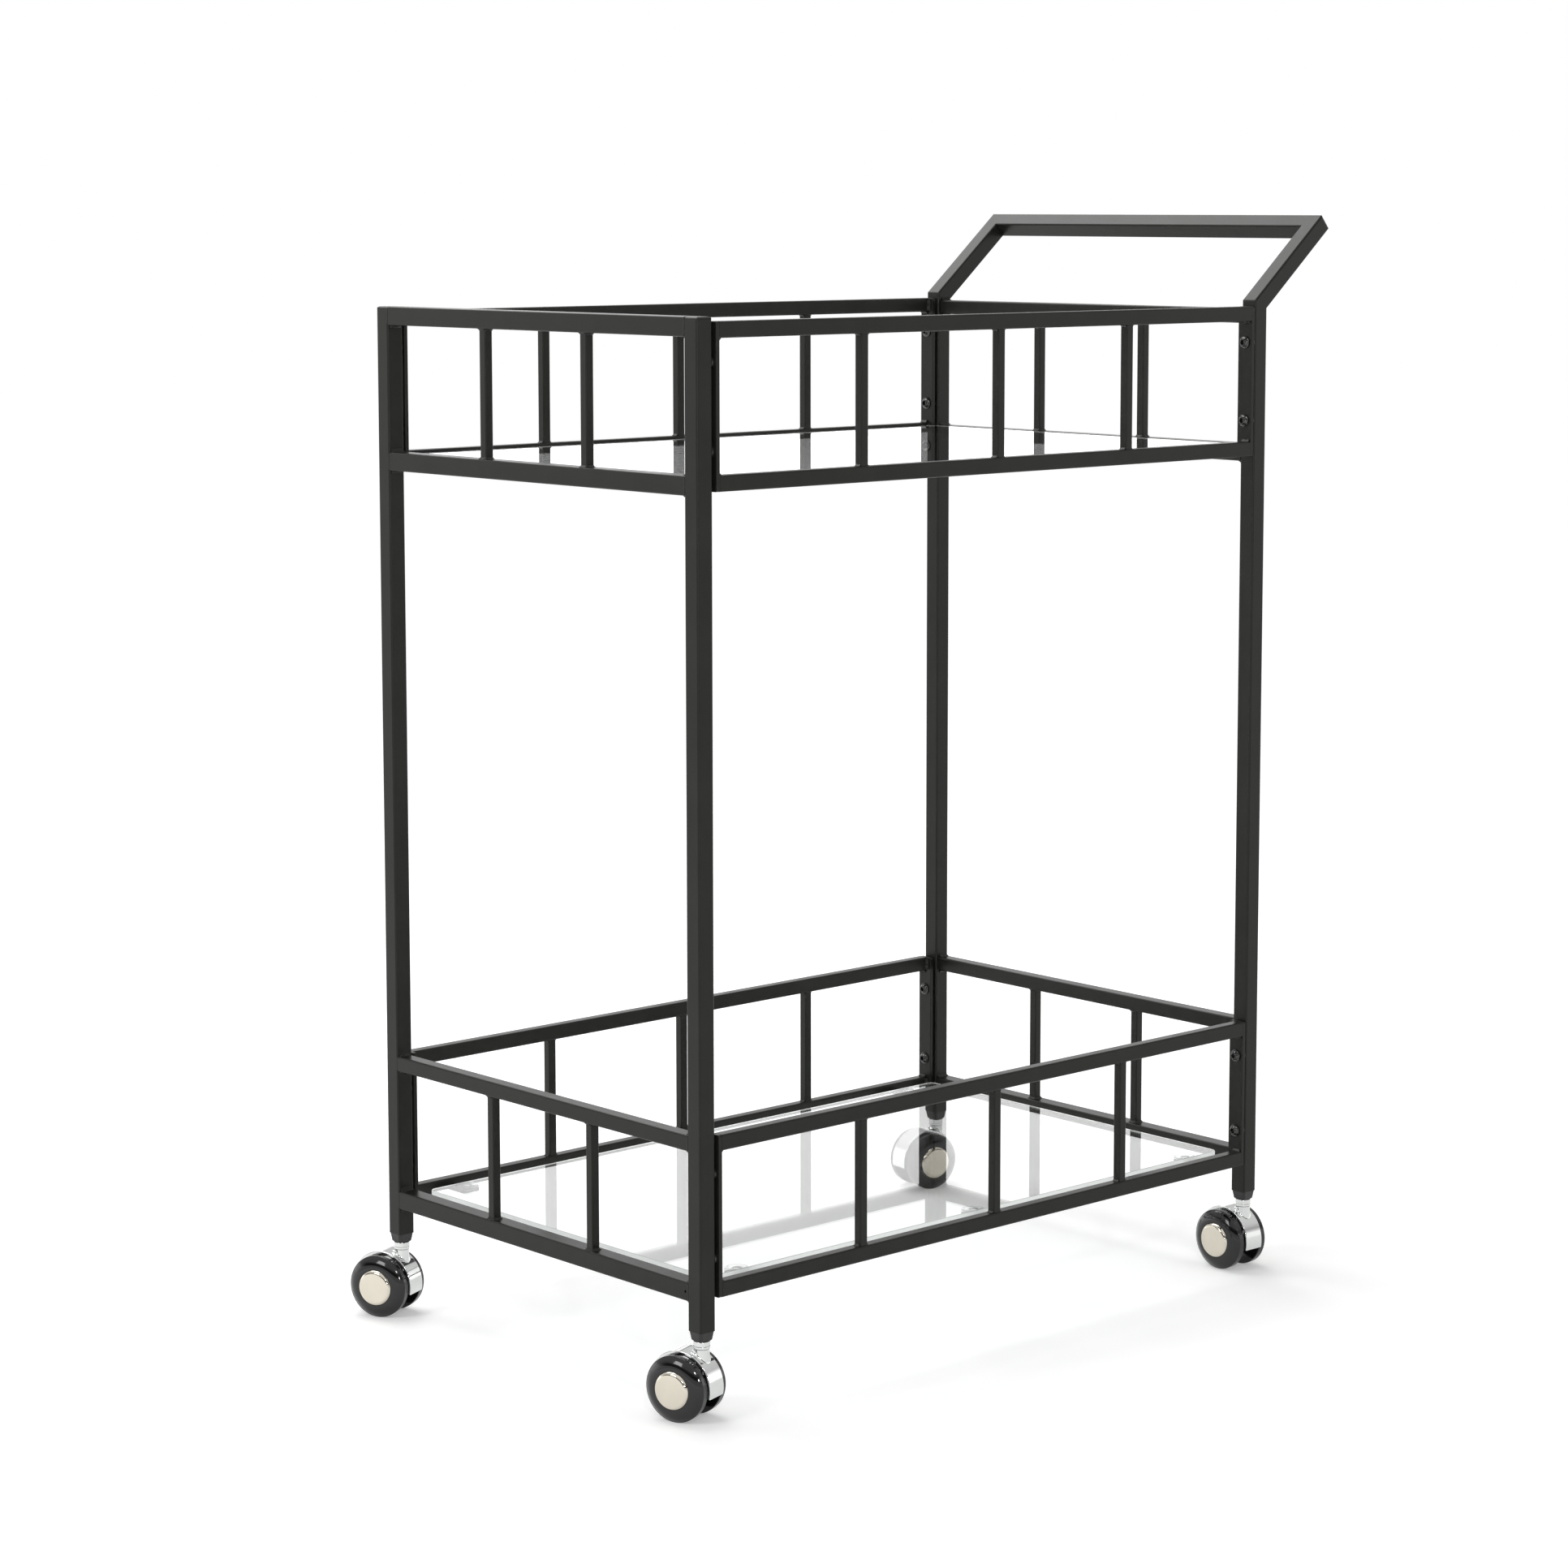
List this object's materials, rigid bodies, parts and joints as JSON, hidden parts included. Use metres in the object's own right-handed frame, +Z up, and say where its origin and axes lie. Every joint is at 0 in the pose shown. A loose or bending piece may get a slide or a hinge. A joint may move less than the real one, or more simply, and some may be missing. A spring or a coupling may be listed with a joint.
{
  "type": "bar cart",
  "caption": "Rolling bar cart: square-tube frame, glass trays inside spindle guard rails, a raised crossbar handle at one end and swivelling twin-wheel casters.",
  "frame": {"origin": "on the floor, midway between the four swivel axes, under the middle of the frame", "axes": "+Z up, +X along the cart towards the handle end, -Y the front long side"},
  "size_m": [0.7397, 0.4421, 0.9116],
  "materials": {
    "frame_coat": "satin charcoal powder coat with a fine grain",
    "black_screw": "glossy black oxide",
    "rivet_steel": "dark coated steel",
    "shelf_glass": "clear tempered glass with eased edges",
    "clear_pad": "clear soft plastic",
    "socket_plastic": "black moulded plastic",
    "caster_chrome": "bright chrome plate",
    "axle_steel": "turned steel",
    "wheel_black": "gloss black moulded plastic",
    "cap_champagne": "polished champagne-coloured plate"
  },
  "bodies": {
    "frame": {"back_lower_rails": "frame_coat", "back_lower_spindles": "frame_coat", "back_panel_plates": "frame_coat", "back_upper_rails": "frame_coat", "back_upper_spindles": "frame_coat", "caster_sockets": "socket_plastic", "caster_stems": "caster_chrome", "front_lower_rails": "frame_coat", "front_lower_spindles": "frame_coat", "front_panel_plates": "frame_coat", "front_upper_rails": "frame_coat", "front_upper_spindles": "frame_coat", "glass_pads": "clear_pad", "handle_arm_back": "frame_coat", "handle_arm_front": "frame_coat", "handle_base_rail": "frame_coat", "handle_crossbar": "frame_coat", "handle_end_spindles": "frame_coat", "handle_guard_rail": "frame_coat", "handle_top_rail": "frame_coat", "handle_tray_rail": "frame_coat", "lower_shelf_glass": "shelf_glass", "panel_screws": "black_screw", "plain_base_rail": "frame_coat", "plain_end_spindles": "frame_coat", "plain_guard_rail": "frame_coat", "plain_top_rail": "frame_coat", "plain_tray_rail": "frame_coat", "post_handle_back": "frame_coat", "post_handle_front": "frame_coat", "post_plain_back": "frame_coat", "post_plain_front": "frame_coat", "rivet_nuts": "rivet_steel", "shelf_tabs": "frame_coat", "upper_shelf_glass": "shelf_glass"},
    "caster_plain_front": {"caster_plain_front_hood": "caster_chrome", "caster_plain_front_axle": "axle_steel"},
    "wheel_plain_front_left": {"caster_plain_front_wheel_left": "wheel_black", "caster_plain_front_cap_left": "cap_champagne"},
    "wheel_plain_front_right": {"caster_plain_front_wheel_right": "wheel_black", "caster_plain_front_cap_right": "cap_champagne"},
    "caster_handle_front": {"caster_handle_front_hood": "caster_chrome", "caster_handle_front_axle": "axle_steel"},
    "wheel_handle_front_left": {"caster_handle_front_wheel_left": "wheel_black", "caster_handle_front_cap_left": "cap_champagne"},
    "wheel_handle_front_right": {"caster_handle_front_wheel_right": "wheel_black", "caster_handle_front_cap_right": "cap_champagne"},
    "caster_plain_back": {"caster_plain_back_hood": "caster_chrome", "caster_plain_back_axle": "axle_steel"},
    "wheel_plain_back_left": {"caster_plain_back_wheel_left": "wheel_black", "caster_plain_back_cap_left": "cap_champagne"},
    "wheel_plain_back_right": {"caster_plain_back_wheel_right": "wheel_black", "caster_plain_back_cap_right": "cap_champagne"},
    "caster_handle_back": {"caster_handle_back_hood": "caster_chrome", "caster_handle_back_axle": "axle_steel"},
    "wheel_handle_back_left": {"caster_handle_back_wheel_left": "wheel_black", "caster_handle_back_cap_left": "cap_champagne"},
    "wheel_handle_back_right": {"caster_handle_back_wheel_right": "wheel_black", "caster_handle_back_cap_right": "cap_champagne"}
  },
  "joints": [
    {"name": "swivel_plain_front", "type": "hinge", "parent": "frame", "child": "caster_plain_front", "pos_m": [-0.3105, -0.1915, 0.0565], "axis": [0, 0, 1], "continuous": true},
    {"name": "spin_plain_front_left", "type": "hinge", "parent": "caster_plain_front", "child": "wheel_plain_front_left", "pos_m": [-0.31471, -0.17773, 0.026], "axis": [-0.9563, -0.2924, 0], "continuous": true},
    {"name": "spin_plain_front_right", "type": "hinge", "parent": "caster_plain_front", "child": "wheel_plain_front_right", "pos_m": [-0.31471, -0.17773, 0.026], "axis": [-0.9563, -0.2924, 0], "continuous": true},
    {"name": "swivel_handle_front", "type": "hinge", "parent": "frame", "child": "caster_handle_front", "pos_m": [0.3105, -0.1915, 0.0565], "axis": [0, 0, 1], "continuous": true},
    {"name": "spin_handle_front_left", "type": "hinge", "parent": "caster_handle_front", "child": "wheel_handle_front_left", "pos_m": [0.31075, -0.1771, 0.026], "axis": [-0.9998, 0.0175, 0], "continuous": true},
    {"name": "spin_handle_front_right", "type": "hinge", "parent": "caster_handle_front", "child": "wheel_handle_front_right", "pos_m": [0.31075, -0.1771, 0.026], "axis": [-0.9998, 0.0175, 0], "continuous": true},
    {"name": "swivel_plain_back", "type": "hinge", "parent": "frame", "child": "caster_plain_back", "pos_m": [-0.3105, 0.1915, 0.0565], "axis": [0, 0, 1], "continuous": true},
    {"name": "spin_plain_back_left", "type": "hinge", "parent": "caster_plain_back", "child": "wheel_plain_back_left", "pos_m": [-0.31624, 0.20471, 0.026], "axis": [-0.9171, -0.3987, 0], "continuous": true},
    {"name": "spin_plain_back_right", "type": "hinge", "parent": "caster_plain_back", "child": "wheel_plain_back_right", "pos_m": [-0.31624, 0.20471, 0.026], "axis": [-0.9171, -0.3987, 0], "continuous": true},
    {"name": "swivel_handle_back", "type": "hinge", "parent": "frame", "child": "caster_handle_back", "pos_m": [0.3105, 0.1915, 0.0565], "axis": [0, 0, 1], "continuous": true},
    {"name": "spin_handle_back_left", "type": "hinge", "parent": "caster_handle_back", "child": "wheel_handle_back_left", "pos_m": [0.29632, 0.194, 0.026], "axis": [-0.1736, -0.9848, 0], "continuous": true},
    {"name": "spin_handle_back_right", "type": "hinge", "parent": "caster_handle_back", "child": "wheel_handle_back_right", "pos_m": [0.29632, 0.194, 0.026], "axis": [-0.1736, -0.9848, 0], "continuous": true}
  ]
}
